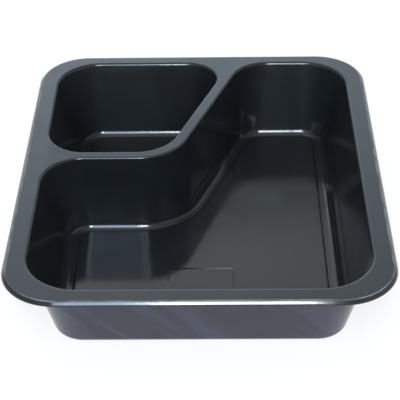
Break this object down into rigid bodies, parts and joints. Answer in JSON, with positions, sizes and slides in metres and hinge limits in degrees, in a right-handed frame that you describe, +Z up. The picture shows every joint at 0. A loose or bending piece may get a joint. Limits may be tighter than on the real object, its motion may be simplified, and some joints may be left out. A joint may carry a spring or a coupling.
{
  "type": "sealable food tray",
  "caption": "Shallow rectangular food tray with a flat sealing rim, a small corner pocket and a large L-shaped pocket, made to be closed with a heat-sealed film.",
  "frame": {"origin": "centre of the tray's outline, at the level it stands on", "axes": "+Z up, out of the pockets; +Y along the tray's length towards the back, where the small pocket is; +X to the right, away from the small pocket"},
  "size_m": [0.1788, 0.2182, 0.041],
  "materials": {
    "black_plastic": "black formed plastic sheet, glossy with a soft haze"
  },
  "bodies": {
    "root": {"tray": "black_plastic"}
  },
  "joints": []
}
